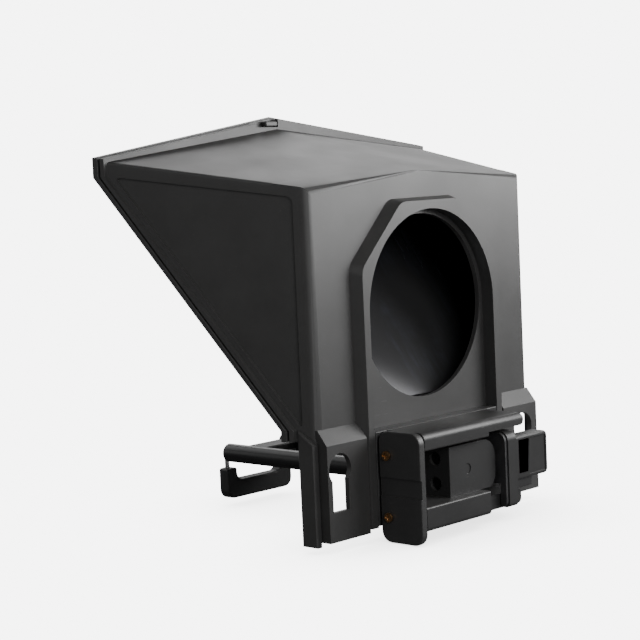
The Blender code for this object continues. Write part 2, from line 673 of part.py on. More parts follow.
def build_hook_bar():
    """Make the U-shaped hook bar with a boss for each rod."""
    inner = HOOK_HALF_WIDTH - HOOK_BOSS_WIDTH
    corners = [(0.0, HOOK_BOTTOM_Z), (HOOK_HALF_WIDTH, HOOK_BOTTOM_Z), (HOOK_HALF_WIDTH, HOOK_BOSS_Z),
               (inner, HOOK_BOSS_Z), (inner, HOOK_BAR_Z), (0.0, HOOK_BAR_Z)]
    half = rounded(corners, [0, HOOK_ROUND, 0.0012, 0.0012, 0.0042, 0])
    bar = prism("hook_bar", mirror_outline(half), "Y", HOOK_REAR_Y, HOOK_REAR_Y - HOOK_DEPTH,
                rounding=0.0007)
    for side, sign in (("left", 1), ("right", -1)):
        socket = cylinder(f"hook_socket_{side}", (sign * TUBE_X, ROD_BEND_Y, HOOK_BAR_Z + 0.0098),
                          ROD_RADIUS + GAP,
                          0.0200 + 2 * GAP, ALONG_Z, True, 16)
        cut(bar, socket)
    return finish(bar, "grip_rubber")


# ---- clamp parts --------------------------------------------------------------------------------------------
def round_rail_end(frame, name, corner_x, corner_z, facing):
    """Round one corner of a rail's free end; facing is 1 for an upper corner and -1 for a lower one."""
    past = 0.0010
    middle_x = corner_x + RAIL_CORNER
    middle_z = corner_z - facing * RAIL_CORNER
    arc = []
    for step in range(7):
        angle = math.radians(15 * step)
        arc.append((middle_x - RAIL_CORNER * math.cos(angle),
                    middle_z + facing * RAIL_CORNER * math.sin(angle)))
    waste = arc + [(middle_x, corner_z + facing * past), (corner_x - past, corner_z + facing * past),
                   (corner_x - past, middle_z)]
    cut(frame, prism(name, waste, "Y", BACK_PLATE_Y + BACK_PLATE_THICK, 0.0500, True))


def build_clamp_frame():
    """Make the clamp's frame: back plate, two rails, the middle tongue and the web for the screws."""
    end_x = CLAMP_LEFT_X - CLAMP_PLATE - GAP
    past_x = end_x + 0.0020
    back_y = BACK_PLATE_Y + BACK_PLATE_THICK
    root_y = back_y - 0.0010
    frame = box("clamp_frame", (RAIL_END_X + 0.0020, BACK_PLATE_Y, LOW_RAIL_BOTTOM_Z + 0.0006),
                (past_x, back_y, FOOT_PLATE_TOP_Z - 0.0006))
    top = rounded([(root_y, TOP_RAIL_Z), (RAIL_REAR_Y, TOP_RAIL_Z), (RAIL_REAR_Y, TOP_RAIL_TOP_Z),
                   (root_y, TOP_RAIL_TOP_Z)], [0, 0.0008, 0.0036, 0], 6)
    low = rounded([(root_y, LOW_RAIL_BOTTOM_Z), (RAIL_REAR_Y, LOW_RAIL_BOTTOM_Z),
                   (RAIL_REAR_Y, LOW_RAIL_Z),
                   (root_y, LOW_RAIL_Z)], [0, 0.0022, 0.0010, 0], 3)
    tongue = rounded([(-TONGUE_HALF_X, TONGUE_BOTTOM_Z - 0.0005),
                      (TONGUE_HALF_X, TONGUE_BOTTOM_Z - 0.0005),
                      (TONGUE_HALF_X, TONGUE_TOP_Z), (-TONGUE_HALF_X, TONGUE_TOP_Z)],
                     [0.0075, 0, 0, 0.0085], 5)
    for piece in (prism("top_rail", top, "X", RAIL_END_X, past_x, True),
                  prism("low_rail", low, "X", LOW_RAIL_END_X, past_x, True),
                  box("screw_web", (end_x - 0.0040, root_y, 0.0020), (past_x, 0.0190, 0.0460), True),
                  prism("tongue", tongue, "Y", root_y, TONGUE_FACE_Y, True)):
        cut(frame, piece, "UNION")
    cut(frame, box("frame_trim", (end_x, 0.0, -0.01), (0.06, 0.05, 0.06), True))
    cut(frame, box("top_step", (-0.05, back_y, 0.0380), (RAIL_STEP_X, 0.05, TOP_RAIL_STEP_Z), True))
    cut(frame, box("low_step_rear", (-0.05, LOW_RAIL_STEP_Y, -0.01),
                   (RAIL_STEP_X, 0.05, LOW_RAIL_Z + 0.0001), True))
    cut(frame, box("low_step_top", (-0.05, back_y, LOW_RAIL_STEP_Z),
                   (RAIL_STEP_X, 0.04, LOW_RAIL_Z + 0.0002), True))
    round_rail_end(frame, "top_rail_upper_end", RAIL_END_X, TOP_RAIL_TOP_Z, 1)
    round_rail_end(frame, "top_rail_lower_end", RAIL_END_X, TOP_RAIL_STEP_Z, -1)
    round_rail_end(frame, "low_rail_upper_end", LOW_RAIL_END_X, LOW_RAIL_STEP_Z, 1)
    round_rail_end(frame, "low_rail_lower_end", LOW_RAIL_END_X, LOW_RAIL_BOTTOM_Z, -1)
    for name, height in GUIDE_HEIGHTS.items():
        cut(frame, cylinder(f"guide_bore_{name}", (0, GUIDE_Y, height), GUIDE_RADIUS + GAP, 0.05,
                            ALONG_X, True, 20))
        cut(frame, cylinder(f"spring_bore_{name}", (0.0200 + SPRING_SEAT_X, GUIDE_Y, height),
                            COLLAR_RADIUS + GAP,
                            0.0400, ALONG_X, True, 24))
    for name, height in SCREW_HEIGHTS.items():
        cut(frame, cylinder(f"web_bore_{name}", (end_x, SCREW_Y, height), SHANK_RADIUS + GAP, 0.024,
                            ALONG_X, True, 20))
    cut(frame, cylinder("dimple", (0.0040, TONGUE_FACE_Y, 0.0250), 0.0026, 0.0010, ALONG_Y, True, 24))
    return finish(frame, "clamp_plastic")


def build_clamp_foot():
    """Make the slide-in foot that locks the clamp in the adapter slot of the hood."""
    foot = box("clamp_foot", (-SLOT_RADIUS + GAP, SLOT_FLOOR_Y + GAP, FOOT_PLATE_BOTTOM_Z),
               (SLOT_RADIUS - GAP, BACK_PLATE_Y - GAP, FOOT_PLATE_TOP_Z), rounding=0.0006)
    return finish(foot, "clamp_plastic")


def build_end_plate():
    """Make the clamp's fixed end plate with the shallow channel across it."""
    outline = rounded([(CLAMP_FRONT_Y, CLAMP_BOTTOM_Z), (CLAMP_REAR_Y, CLAMP_BOTTOM_Z),
                       (CLAMP_REAR_Y, CLAMP_TOP_Z),
                       (CLAMP_FRONT_Y, CLAMP_TOP_Z)], [CLAMP_CORNER] * 4, 5)
    plate = prism("clamp_end_plate", outline, "X", CLAMP_LEFT_X - CLAMP_PLATE, CLAMP_LEFT_X,
                  rounding=0.0007)
    cut(plate, box("end_channel", (CLAMP_LEFT_X - 0.0008, 0.0, 0.0173),
                   (CLAMP_LEFT_X + 0.002, 0.05, 0.0262), True))
    for name, height in SCREW_HEIGHTS.items():
        cut(plate, cylinder(f"plate_bore_{name}", (CLAMP_LEFT_X - 0.002, SCREW_Y, height),
                            SHANK_RADIUS + GAP,
                            0.012, ALONG_X, True, 20))
    return finish(plate, "clamp_plastic")


def build_end_screws():
    """Make the two brass screws that hold the end plate, each with a crossed head."""
    for name, height in SCREW_HEIGHTS.items():
        head_x = CLAMP_LEFT_X + GAP + 0.0006
        screw = cylinder(f"end_screw_{name}", (head_x, SCREW_Y, height), SCREW_HEAD_RADIUS, 0.0012,
                         ALONG_X, segments=28)
        shank = cylinder(f"screw_shank_{name}", (CLAMP_LEFT_X - 0.0035, SCREW_Y, height), SHANK_RADIUS,
                         0.0090, ALONG_X, True, 20)
        cut(screw, shank, "UNION")
        for turn, size in (("upright", (0.0004, 0.0017)), ("level", (0.0017, 0.0004))):
            cut(screw, box(f"screw_{name}_{turn}", (head_x - 0.0001, SCREW_Y - size[0], height - size[1]),
                           (head_x + 0.001, SCREW_Y + size[0], height + size[1]), True))
        finish(screw, "brass")


def jaw_outline(inset):
    """Side outline of the jaw, which reaches down behind the low rail's end, or of its liner."""
    low_y = LOW_RAIL_STEP_Y + 0.0004 + inset
    notch_z = LOW_RAIL_Z + 0.0004 + inset
    corners = [(JAW_FRONT_Y + inset, notch_z), (low_y, notch_z), (low_y, JAW_BOTTOM_Z + inset),
               (JAW_REAR_Y - inset, JAW_BOTTOM_Z + inset), (JAW_REAR_Y - inset, JAW_TOP_Z - inset),
               (JAW_FRONT_Y + inset, JAW_TOP_Z - inset)]
    return rounded(corners, [0.0, 0.0, 0.0010, 0.0024, 0.0050 - inset, 0.0010])


def build_jaw():
    """Make the sliding jaw with its wall, its slotted grip and the tab below it."""
    back_x = JAW_FACE_X - JAW_THICK
    jaw = prism("clamp_jaw", jaw_outline(0.0), "X", back_x, JAW_FACE_X)
    grip_corners = [(back_x + 0.0010, GRIP_BOTTOM_Z), (GRIP_END_X, GRIP_BOTTOM_Z),
                    (GRIP_END_X, GRIP_TOP_Z),
                    (back_x + 0.0010, GRIP_TOP_Z)]
    grip = prism("grip_block", rounded(grip_corners, [0, 0.0026, 0.0026, 0]), "Y", GRIP_FRONT_Y,
                 JAW_REAR_Y - 0.0006, True, rounding=0.0012)
    tab = box("grip_tab", (-0.0438, GRIP_FRONT_Y + 0.0040, 0.0096),
              (back_x + 0.0010, 0.0290, GRIP_BOTTOM_Z + 0.0020),
              True, rounding=0.0008)
    cut(jaw, grip, "UNION")
    cut(jaw, tab, "UNION")
    cut(jaw, box("grip_slot", (-0.0386, 0.0, 0.0174), (-0.0313, 0.05, 0.0340), True))
    cut(jaw, box("grip_recess", (-0.0536, JAW_REAR_Y - 0.0006 - GRIP_RECESS, 0.0160),
                 (-0.0400, 0.05, 0.0340), True))
    for name, height in GUIDE_HEIGHTS.items():
        cut(jaw, cylinder(f"jaw_bore_{name}", (JAW_FACE_X - 0.0005, GUIDE_Y, height),
                          GUIDE_RADIUS + 0.0001,
                          0.0120, ALONG_X, True, 20))
    return finish(jaw, "clamp_plastic")


def build_jaw_pad():
    """Make the rubber liner on the jaw's clamping face."""
    pad = prism("jaw_pad", jaw_outline(0.0007), "X", JAW_FACE_X + GAP, JAW_FACE_X + 0.0018)
    for name, height in GUIDE_HEIGHTS.items():
        cut(pad, cylinder(f"pad_bore_{name}", (JAW_FACE_X, GUIDE_Y, height), GUIDE_RADIUS + GAP, 0.0120,
                          ALONG_X,
                          True, 20))
    return finish(pad, "grip_rubber")


def build_guides():
    """Make the two guide rods of the jaw, and the collar and the spring on each inside the tongue."""
    for name, height in GUIDE_HEIGHTS.items():
        start = JAW_FACE_X - 0.0055
        middle = (start + GUIDE_END_X) / 2
        rod = cylinder(f"guide_rod_{name}", (middle, GUIDE_Y, height), GUIDE_RADIUS, GUIDE_END_X - start,
                       ALONG_X,
                       segments=20)
        finish(rod, "bright_steel")
        collar_x = GUIDE_END_X - 0.0012
        collar = cylinder(f"guide_collar_{name}", (collar_x, GUIDE_Y, height), COLLAR_RADIUS, 0.0020,
                          ALONG_X,
                          segments=24)
        cut(collar, cylinder(f"guide_collar_{name}_bore", (collar_x, GUIDE_Y, height),
                             GUIDE_RADIUS + 0.00015,
                             0.006, ALONG_X, True, 20))
        finish(collar, "bright_steel")
        coil = spring_points(0.0, 0.0, SPRING_SEAT_X + 0.0006, collar_x - 0.0010 - 0.0006,
                             JAW_COIL_RADIUS, JAW_TURNS)
        points = [Vector((p.y, GUIDE_Y + p.x, height + p.z)) for p in coil]
        finish(wire_mesh(f"jaw_spring_{name}", points, SPRING_WIRE, 1), "bright_steel")


def build_rail_screws():
    """Make the two small screws that stand in the steps of the rails."""
    for name, low_z, high_z in (("upper", 0.0382, TOP_RAIL_STEP_Z - GAP),
                                ("lower", LOW_RAIL_STEP_Z + GAP, 0.0110)):
        screw = cylinder(f"rail_screw_{name}", (*RAIL_SCREW_XY, (low_z + high_z) / 2), 0.0018,
                         high_z - low_z,
                         ALONG_Z, segments=20)
        open_z = low_z if name == "upper" else high_z
        cut(screw, box(f"rail_slot_{name}", (RAIL_SCREW_XY[0] - 0.0030, RAIL_SCREW_XY[1] - 0.0003,
                                             open_z - 0.0005),
                       (RAIL_SCREW_XY[0] + 0.0030, RAIL_SCREW_XY[1] + 0.0003, open_z + 0.0005), True))
        finish(screw, "bright_steel")


# ---- assembly ----------------------------------------------------------------------------------------------------
clear_scene()
PARTS = make_collection(COLLECTION)
CUTTERS = make_collection("cutters")
ASSEMBLY = bpy.data.objects.new("assembly_origin", None)
ASSEMBLY.location = (0.0, REAR_WALL_Y, FEET_Z)
PARTS.objects.link(ASSEMBLY)

hood = build_hood_shell()
build_front_bezel()
build_glass()
build_frame_latch()
build_side_plate()
build_side_screw(hood)
build_cradle_mount()
for side_name, side_sign in (("left", 1), ("right", -1)):
    build_cradle_side(side_name, side_sign)
build_cross_plate()
build_hook_bar()
build_clamp_foot()
build_clamp_frame()
build_end_plate()
build_end_screws()
build_jaw()
build_jaw_pad()
build_guides()
build_rail_screws()
bpy.context.view_layer.update()
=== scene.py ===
"""Looks of a compact camera teleprompter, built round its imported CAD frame.

The frame holds every solid of the object. This script rounds the edges of most of them, winds the
springs again in finer steps, dresses every piece in its finish, and sets up the floor, the lights
and the camera. Units are metres, X runs across the hood, +Y points to the camera side and +Z is up.
"""
from __future__ import annotations

import json
import logging
import math
from dataclasses import dataclass, field
from enum import Enum

import bpy
from mathutils import Matrix, Vector


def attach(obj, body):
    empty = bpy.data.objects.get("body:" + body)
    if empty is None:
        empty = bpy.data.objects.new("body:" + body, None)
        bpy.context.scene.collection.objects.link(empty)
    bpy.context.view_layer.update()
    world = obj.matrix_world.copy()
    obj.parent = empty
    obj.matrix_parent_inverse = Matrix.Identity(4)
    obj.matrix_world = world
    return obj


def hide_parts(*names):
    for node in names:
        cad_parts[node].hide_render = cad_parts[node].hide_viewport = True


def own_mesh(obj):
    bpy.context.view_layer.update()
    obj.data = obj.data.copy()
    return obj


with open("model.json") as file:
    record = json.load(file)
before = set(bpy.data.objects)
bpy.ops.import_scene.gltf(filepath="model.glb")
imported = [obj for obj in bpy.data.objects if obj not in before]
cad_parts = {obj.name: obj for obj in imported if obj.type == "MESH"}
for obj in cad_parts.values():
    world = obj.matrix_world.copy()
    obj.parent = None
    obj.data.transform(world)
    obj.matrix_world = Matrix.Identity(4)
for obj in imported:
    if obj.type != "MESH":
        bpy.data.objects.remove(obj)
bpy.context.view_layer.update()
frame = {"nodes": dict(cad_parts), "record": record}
LOG = logging.getLogger("teleprompter")
MM_PER_METRE = 1000.0

Colour = tuple[float, float, float]
Span = tuple[float, float]
DUST_COLOUR: Colour = (0.30, 0.29, 0.27)
SCUFF_COLOUR: Colour = (0.10, 0.10, 0.10)


def deselect() -> None:
    """Leave nothing selected."""
    bpy.ops.object.select_all(action="DESELECT")


# ---- studio --------------------------------------------------------------------------------------
@dataclass
class StudioCamera:
    """Long-lens camera behind the hood's left rear corner."""

    azimuth: float = math.radians(133.13)
    elevation: float = math.radians(5.13)
    roll: float = math.radians(-2.6)
    distance: float = 0.8256
    target: Vector = field(default_factory=lambda: Vector((0.07575, 0.0474, 0.10828)))
    focal_mm: float = 100.9
    sensor_mm: float = 36.0
    near_clip: float = 0.01

    def build(self) -> None:
        """Make the camera and set it as the scene's own."""
        look = Vector((-math.sin(self.azimuth) * math.cos(self.elevation),
                       math.cos(self.azimuth) * math.cos(self.elevation), -math.sin(self.elevation)))
        level = look.cross(Vector((0.0, 0.0, 1.0))).normalized()
        upright = level.cross(look)
        right = level * math.cos(self.roll) + upright * math.sin(self.roll)
        up = upright * math.cos(self.roll) - level * math.sin(self.roll)
        data = bpy.data.cameras.new("studio_camera")
        data.lens = self.focal_mm
        data.sensor_width = self.sensor_mm
        data.clip_start = self.near_clip
        camera = bpy.data.objects.new("studio_camera", data)
        turn = Matrix((right, up, -look)).transposed().to_4x4()
        camera.matrix_world = Matrix.Translation(self.target - look * self.distance) @ turn
        bpy.context.scene.collection.objects.link(camera)
        bpy.context.scene.camera = camera


@dataclass(frozen=True)
class Softbox:
    """One rectangular studio light that faces a point on the object."""

    name: str
    place: tuple[float, float, float]
    size: tuple[float, float]
    power: float
    aim: tuple[float, float, float] = (0.0, 0.03, 0.11)

    def build(self) -> None:
        """Make the light and turn it to its point."""
        data = bpy.data.lights.new(self.name, "AREA")
        data.shape = "RECTANGLE"
        data.size, data.size_y = self.size
        data.energy = self.power
        lamp = bpy.data.objects.new(self.name, data)
        lamp.location = self.place
        aim = Vector(self.aim) - Vector(self.place)
        lamp.rotation_euler = aim.to_track_quat("-Z", "Y").to_euler()
        bpy.context.scene.collection.objects.link(lamp)


@dataclass
class Studio:
    """Pale floor, soft lights, a bright backdrop and the camera."""

    floor_size: float = 8.0
    floor_gap: float = 0.0004
    paper_tone: float = 0.12
    paper_roughness: float = 0.9
    shadow_reach: float = 0.06
    shadow_floor: float = 0.35
    backdrop: float = 6.5
    ambient: float = 0.03
    lights: tuple[Softbox, ...] = (
        Softbox("rear_near", (-0.22, 0.26, 0.25), (0.36, 0.20), 1.2, (0.0, 0.05, 0.22)),
        Softbox("rear_far", (-0.33, 0.42, 0.25), (0.40, 0.20), 2.3, (0.0, 0.047, 0.17)),
        Softbox("behind_roof", (-1.00, -0.82, 0.80), (1.00, 0.60), 5.8),
        Softbox("front_fill", (0.10, -1.20, 0.90), (1.00, 0.80), 4.0),
        Softbox("front_low", (0.55, -1.35, 0.35), (1.10, 0.60), 2.6, (0.0, -0.05, 0.10)),
        Softbox("side_fill", (1.30, 0.10, 0.60), (0.80, 0.80), 2.3),
        Softbox("camera_fill", (0.55, 1.30, 0.55), (0.80, 0.80), 12.0),
    )

    def build(self) -> None:
        """Make the floor, the world, the lights and the camera."""
        deselect()
        bpy.ops.mesh.primitive_plane_add(size=self.floor_size, location=(0.0, 0.0, -self.floor_gap))
        floor = bpy.context.object
        floor.name = "studio_floor"
        floor.data.materials.append(self.paper())
        bpy.context.scene.world = self.surround()
        for light in self.lights:
            light.build()
        StudioCamera().build()

    def surround(self) -> bpy.types.World:
        """Make a world that is bright behind the object and dim around it.

        Returns:
            The world.
        """
        world = bpy.data.worlds.new("studio_world")
        world.use_nodes = True
        nodes, links = world.node_tree.nodes, world.node_tree.links
        seen = nodes["Background"]
        seen.inputs["Strength"].default_value = self.backdrop
        seen.inputs["Color"].default_value = (1.0, 1.0, 1.0, 1.0)
        around = nodes.new("ShaderNodeBackground")
        around.inputs["Strength"].default_value = self.ambient
        around.inputs["Color"].default_value = (1.0, 1.0, 1.0, 1.0)
        mix = nodes.new("ShaderNodeMixShader")
        links.new(nodes.new("ShaderNodeLightPath").outputs["Is Camera Ray"], mix.inputs[0])
        links.new(around.outputs[0], mix.inputs[1])
        links.new(seen.outputs[0], mix.inputs[2])
        links.new(mix.outputs[0], nodes["World Output"].inputs["Surface"])
        return world

    def paper(self) -> bpy.types.Material:
        """Make the floor's paper, dark to the lights and as bright as the backdrop when looked at.

        A soft shadow stays where the object is close to it.

        Returns:
            The material.
        """
        material = bpy.data.materials.new("studio_paper")
        material.use_nodes = True
        nodes, links = material.node_tree.nodes, material.node_tree.links
        shader = nodes["Principled BSDF"]
        shader.inputs["Base Color"].default_value = (*[self.paper_tone] * 3, 1.0)
        shader.inputs["Roughness"].default_value = self.paper_roughness
        glow = nodes.new("ShaderNodeEmission")
        contact = nodes.new("ShaderNodeAmbientOcclusion")
        contact.inputs["Distance"].default_value = self.shadow_reach
        shadow = nodes.new("ShaderNodeMapRange")
        shadow.inputs["To Min"].default_value = self.backdrop * self.shadow_floor
        shadow.inputs["To Max"].default_value = self.backdrop
        links.new(contact.outputs["AO"], shadow.inputs["Value"])
        links.new(shadow.outputs["Result"], glow.inputs["Strength"])
        mix = nodes.new("ShaderNodeMixShader")
        links.new(nodes.new("ShaderNodeLightPath").outputs["Is Camera Ray"], mix.inputs[0])
        links.new(shader.outputs[0], mix.inputs[1])
        links.new(glow.outputs[0], mix.inputs[2])
        links.new(mix.outputs[0], nodes["Material Output"].inputs["Surface"])
        return material


# ---- shared surface effects ----------------------------------------------------------------------
class NodeSheet:
    """A node tree with short calls for the nodes that the finishes use."""

    def __init__(self, tree: bpy.types.NodeTree) -> None:
        """Keep the tree that the nodes go in.

        Args:
            tree: a material's or a group's node tree.
        """
        self.tree = tree

    def add(self, kind: str, **settings: object) -> bpy.types.Node:
        """Add a node and set its properties.

        Args:
            kind: the node's type name.
            **settings: its properties by name.

        Returns:
            The node.
        """
        node = self.tree.nodes.new(kind)
        for name, value in settings.items():
            setattr(node, name, value)
        return node

    def link(self, source: bpy.types.NodeSocket, target: bpy.types.NodeSocket) -> None:
        """Link two sockets."""
        self.tree.links.new(source, target)

    def feed(self, value: object, target: bpy.types.NodeSocket) -> None:
        """Link a socket to an input, or set the input to a number.

        Args:
            value: a socket or a number.
            target: the input.
        """
        if isinstance(value, bpy.types.NodeSocket):
            self.link(value, target)
        else:
            target.default_value = value

    def math(self, operation: str, first: object, second: object = 0.0,
             clamp: bool = False) -> bpy.types.NodeSocket:
        """Add a Math node.

        Args:
            operation: what it does.
            first: a socket or a number.
            second: a socket or a number.
            clamp: whether the result stays between 0 and 1.

        Returns:
            The result's socket.
        """
        node = self.add("ShaderNodeMath", operation=operation, use_clamp=clamp)
        for socket, value in zip(node.inputs, (first, second)):
            self.feed(value, socket)
        return node.outputs[0]

    def noise(self, vector: bpy.types.NodeSocket, scale: object, detail: float = 2.0,
              roughness: float = 0.5) -> bpy.types.NodeSocket:
        """Add a Noise texture and give its value.

        Args:
            vector: where the pattern is read.
            scale: features per metre, as a number or a socket.
            detail: octaves.
            roughness: how strong the finer octaves are.

        Returns:
            The noise value's socket.
        """
        node = self.add("ShaderNodeTexNoise")
        self.link(vector, node.inputs["Vector"])
        self.feed(scale, node.inputs["Scale"])
        node.inputs["Detail"].default_value = detail
        node.inputs["Roughness"].default_value = roughness
        return node.outputs["Fac"]

    def stretch(self, vector: bpy.types.NodeSocket,
                scale: tuple[float, float, float]) -> bpy.types.NodeSocket:
        """Add a Mapping node that stretches a pattern.

        Args:
            vector: the coordinates.
            scale: the scale along each axis.

        Returns:
            The stretched coordinates.
        """
        node = self.add("ShaderNodeMapping")
        self.link(vector, node.inputs["Vector"])
        node.inputs["Scale"].default_value = scale
        return node.outputs["Vector"]

    def span(self, value: bpy.types.NodeSocket, low: float, high: float, start: object = 0.0,
             end: object = 1.0) -> bpy.types.NodeSocket:
        """Add a Map Range node.

        Args:
            value: the value to map.
            low: the value that gives start.
            high: the value that gives end.
            start: the result at low, as a number or a socket.
            end: the result at high, as a number or a socket.

        Returns:
            The mapped value.
        """
        node = self.add("ShaderNodeMapRange")
        self.link(value, node.inputs["Value"])
        node.inputs["From Min"].default_value = low
        node.inputs["From Max"].default_value = high
        self.feed(start, node.inputs["To Min"])
        self.feed(end, node.inputs["To Max"])
        return node.outputs["Result"]


class EffectGroup:
    """A node group of one surface effect, built once and placed in each material that shows it."""

    name = "effect"
    inputs: dict[str, float] = {}
    outputs: tuple[str, ...] = ()

    @classmethod
    def tree(cls) -> bpy.types.NodeTree:
        """Find the group, or build it.

        Returns:
            The group's node tree.
        """
        found = bpy.data.node_groups.get(cls.name)
        if found:
            return found
        tree = bpy.data.node_groups.new(cls.name, "ShaderNodeTree")
        tree.interface.new_socket("Place", in_out="INPUT", socket_type="NodeSocketVector")
        for label, value in cls.inputs.items():
            socket = tree.interface.new_socket(label, in_out="INPUT", socket_type="NodeSocketFloat")
            socket.default_value = value
        for label in cls.outputs:
            tree.interface.new_socket(label, in_out="OUTPUT", socket_type="NodeSocketFloat")
        sheet = NodeSheet(tree)
        cls.fill(sheet, sheet.add("NodeGroupInput"), sheet.add("NodeGroupOutput"))
        return tree

    @classmethod
    def fill(cls, sheet: NodeSheet, given: bpy.types.Node, result: bpy.types.Node) -> None:
        """Build the group's nodes.

        Args:
            sheet: the group's node tree.
            given: its input node.
            result: its output node.
        """
        raise NotImplementedError

    @classmethod
    def place(cls, sheet: NodeSheet, where: bpy.types.NodeSocket, **values: float) -> bpy.types.Node:
        """Put the group in a material.

        Args:
            sheet: the material's node tree.
            where: the coordinates.
            **values: the group's inputs, by name in lower case with underscores.

        Returns:
            The group node.
        """
        node = sheet.add("ShaderNodeGroup", node_tree=cls.tree())
        sheet.link(where, node.inputs["Place"])
        for name, value in values.items():
            node.inputs[name.replace("_", " ").capitalize()].default_value = value
        return node


class SparkTexture(EffectGroup):
    """The fine pebbled skin that an eroded mould gives plastic, with its slow changes in sheen."""

    name = "spark_texture"
    inputs = {"Grain per metre": 3200.0, "Cloud per metre": 22.0}
    outputs = ("Height", "Sheen", "Shade")
    coarse_scale = 0.36
    fine_share = 0.62
    coarse_share = 0.38
    shade_scale = 2.7
    sheen_span: Span = (0.3, 0.7)
    shade_span: Span = (0.32, 0.68)

    @classmethod
    def fill(cls, sheet: NodeSheet, given: bpy.types.Node, result: bpy.types.Node) -> None:
        """Build two sizes of grain, and soft clouds for sheen and shade.

        Args:
            sheet: the group's node tree.
            given: its input node.
            result: its output node.
        """
        place = given.outputs["Place"]
        fine = sheet.noise(place, given.outputs["Grain per metre"], 3.0, 0.6)
        coarse_grain = sheet.math("MULTIPLY", given.outputs["Grain per metre"], cls.coarse_scale)
        coarse = sheet.noise(place, coarse_grain, 2.0, 0.5)
        height = sheet.math("ADD", sheet.math("MULTIPLY", fine, cls.fine_share),
                            sheet.math("MULTIPLY", coarse, cls.coarse_share))
        sheet.link(height, result.inputs["Height"])
        cloud = sheet.noise(place, given.outputs["Cloud per metre"], 4.0, 0.55)
        sheet.link(sheet.span(cloud, *cls.sheen_span), result.inputs["Sheen"])
        patches = sheet.math("MULTIPLY", given.outputs["Cloud per metre"], cls.shade_scale)
        shade = sheet.noise(place, patches, 3.0, 0.6)
        sheet.link(sheet.span(shade, *cls.shade_span), result.inputs["Shade"])


class FineDust(EffectGroup):
    """A trace of dust that settles on what faces up, in specks and a thin haze."""

    name = "fine_dust"
    inputs = {"Specks per metre": 900.0, "Amount": 0.3}
    outputs = ("Mask",)
    upward_span: Span = (0.15, 0.95)
    speck_span: Span = (0.16, 0.05)
    rare_scale = 260.0
    rare_span: Span = (0.56, 0.62)
    haze_scale = 34.0
    haze_span: Span = (0.35, 0.8)
    haze_share = 0.35

    @classmethod
    def fill(cls, sheet: NodeSheet, given: bpy.types.Node, result: bpy.types.Node) -> None:
        """Build the specks and the haze, and keep them to faces that look up.

        Args:
            sheet: the group's node tree.
            given: its input node.
            result: its output node.
        """
        place = given.outputs["Place"]
        normal = sheet.add("ShaderNodeNewGeometry").outputs["Normal"]
        split = sheet.add("ShaderNodeSeparateXYZ")
        sheet.link(normal, split.inputs[0])
        upward = sheet.span(split.outputs["Z"], *cls.upward_span)
        specks = sheet.add("ShaderNodeTexVoronoi", feature="F1")
        sheet.link(place, specks.inputs["Vector"])
        sheet.link(given.outputs["Specks per metre"], specks.inputs["Scale"])
        dots = sheet.span(specks.outputs["Distance"], *cls.speck_span)
        rare = sheet.span(sheet.noise(place, cls.rare_scale, 2.0), *cls.rare_span)
        clouds = sheet.noise(place, cls.haze_scale, 5.0, 0.65)
        haze = sheet.span(clouds, *cls.haze_span, 0.0, cls.haze_share)
        mask = sheet.math("ADD", sheet.math("MULTIPLY", dots, rare), haze, clamp=True)
        mask = sheet.math("MULTIPLY", sheet.math("MULTIPLY", mask, upward), given.outputs["Amount"])
        sheet.link(mask, result.inputs["Mask"])


class HandlingMarks(EffectGroup):
    """Hairline scuffs and rubbed patches from being handled and packed."""

    name = "handling_marks"
    inputs = {"Amount": 0.5}
    outputs = ("Scuff", "Rub")
    patch_scale = 55.0
    patch_span: Span = (0.52, 0.64)
    hairlines = ((140.0, 2600.0, 900.0), (2400.0, 160.0, 1100.0))
    hairline_span: Span = (0.70, 0.76)
    rub_scale = 14.0
    rub_span: Span = (0.45, 0.72)

    @classmethod
    def fill(cls, sheet: NodeSheet, given: bpy.types.Node, result: bpy.types.Node) -> None:
        """Build two directions of hairlines, broken up by a patchy mask, and slow rubbed areas.

        Args:
            sheet: the group's node tree.
            given: its input node.
            result: its output node.
        """
        place = given.outputs["Place"]
        patches = sheet.span(sheet.noise(place, cls.patch_scale, 3.0), *cls.patch_span)
        lines = []
        for stretch in cls.hairlines:
            streaks = sheet.noise(sheet.stretch(place, stretch), 1.0, 1.0)
            lines.append(sheet.span(streaks, *cls.hairline_span))
        both = sheet.math("MAXIMUM", lines[0], lines[1])
        scuff = sheet.math("MULTIPLY", sheet.math("MULTIPLY", both, patches), given.outputs["Amount"])
        sheet.link(scuff, result.inputs["Scuff"])
        rub = sheet.span(sheet.noise(place, cls.rub_scale, 4.0, 0.6), *cls.rub_span)
        sheet.link(sheet.math("MULTIPLY", rub, given.outputs["Amount"]), result.inputs["Rub"])


class DrawnLines(EffectGroup):
    """Fine lines that drawing or turning leaves along a metal piece."""

    name = "drawn_lines"
    inputs = {"Fine per metre": 9000.0, "Long per metre": 60.0}
    outputs = ("Height", "Tone")
    tone_span: Span = (0.35, 0.65)

    @classmethod
    def fill(cls, sheet: NodeSheet, given: bpy.types.Node, result: bpy.types.Node) -> None:
        """Build noise that is stretched along Y, which is how the tubes and the hook rods lie.

        Args:
            sheet: the group's node tree.
            given: its input node.
            result: its output node.
        """
        split = sheet.add("ShaderNodeSeparateXYZ")
        sheet.link(given.outputs["Place"], split.inputs[0])
        joined = sheet.add("ShaderNodeCombineXYZ")
        for axis, scale in (("X", "Fine per metre"), ("Z", "Fine per metre"), ("Y", "Long per metre")):
            scaled = sheet.math("MULTIPLY", split.outputs[axis], given.outputs[scale])
            sheet.link(scaled, joined.inputs[axis])
        lines = sheet.noise(joined.outputs["Vector"], 1.0, 2.0)
        sheet.link(lines, result.inputs["Height"])
        sheet.link(sheet.span(lines, *cls.tone_span), result.inputs["Tone"])


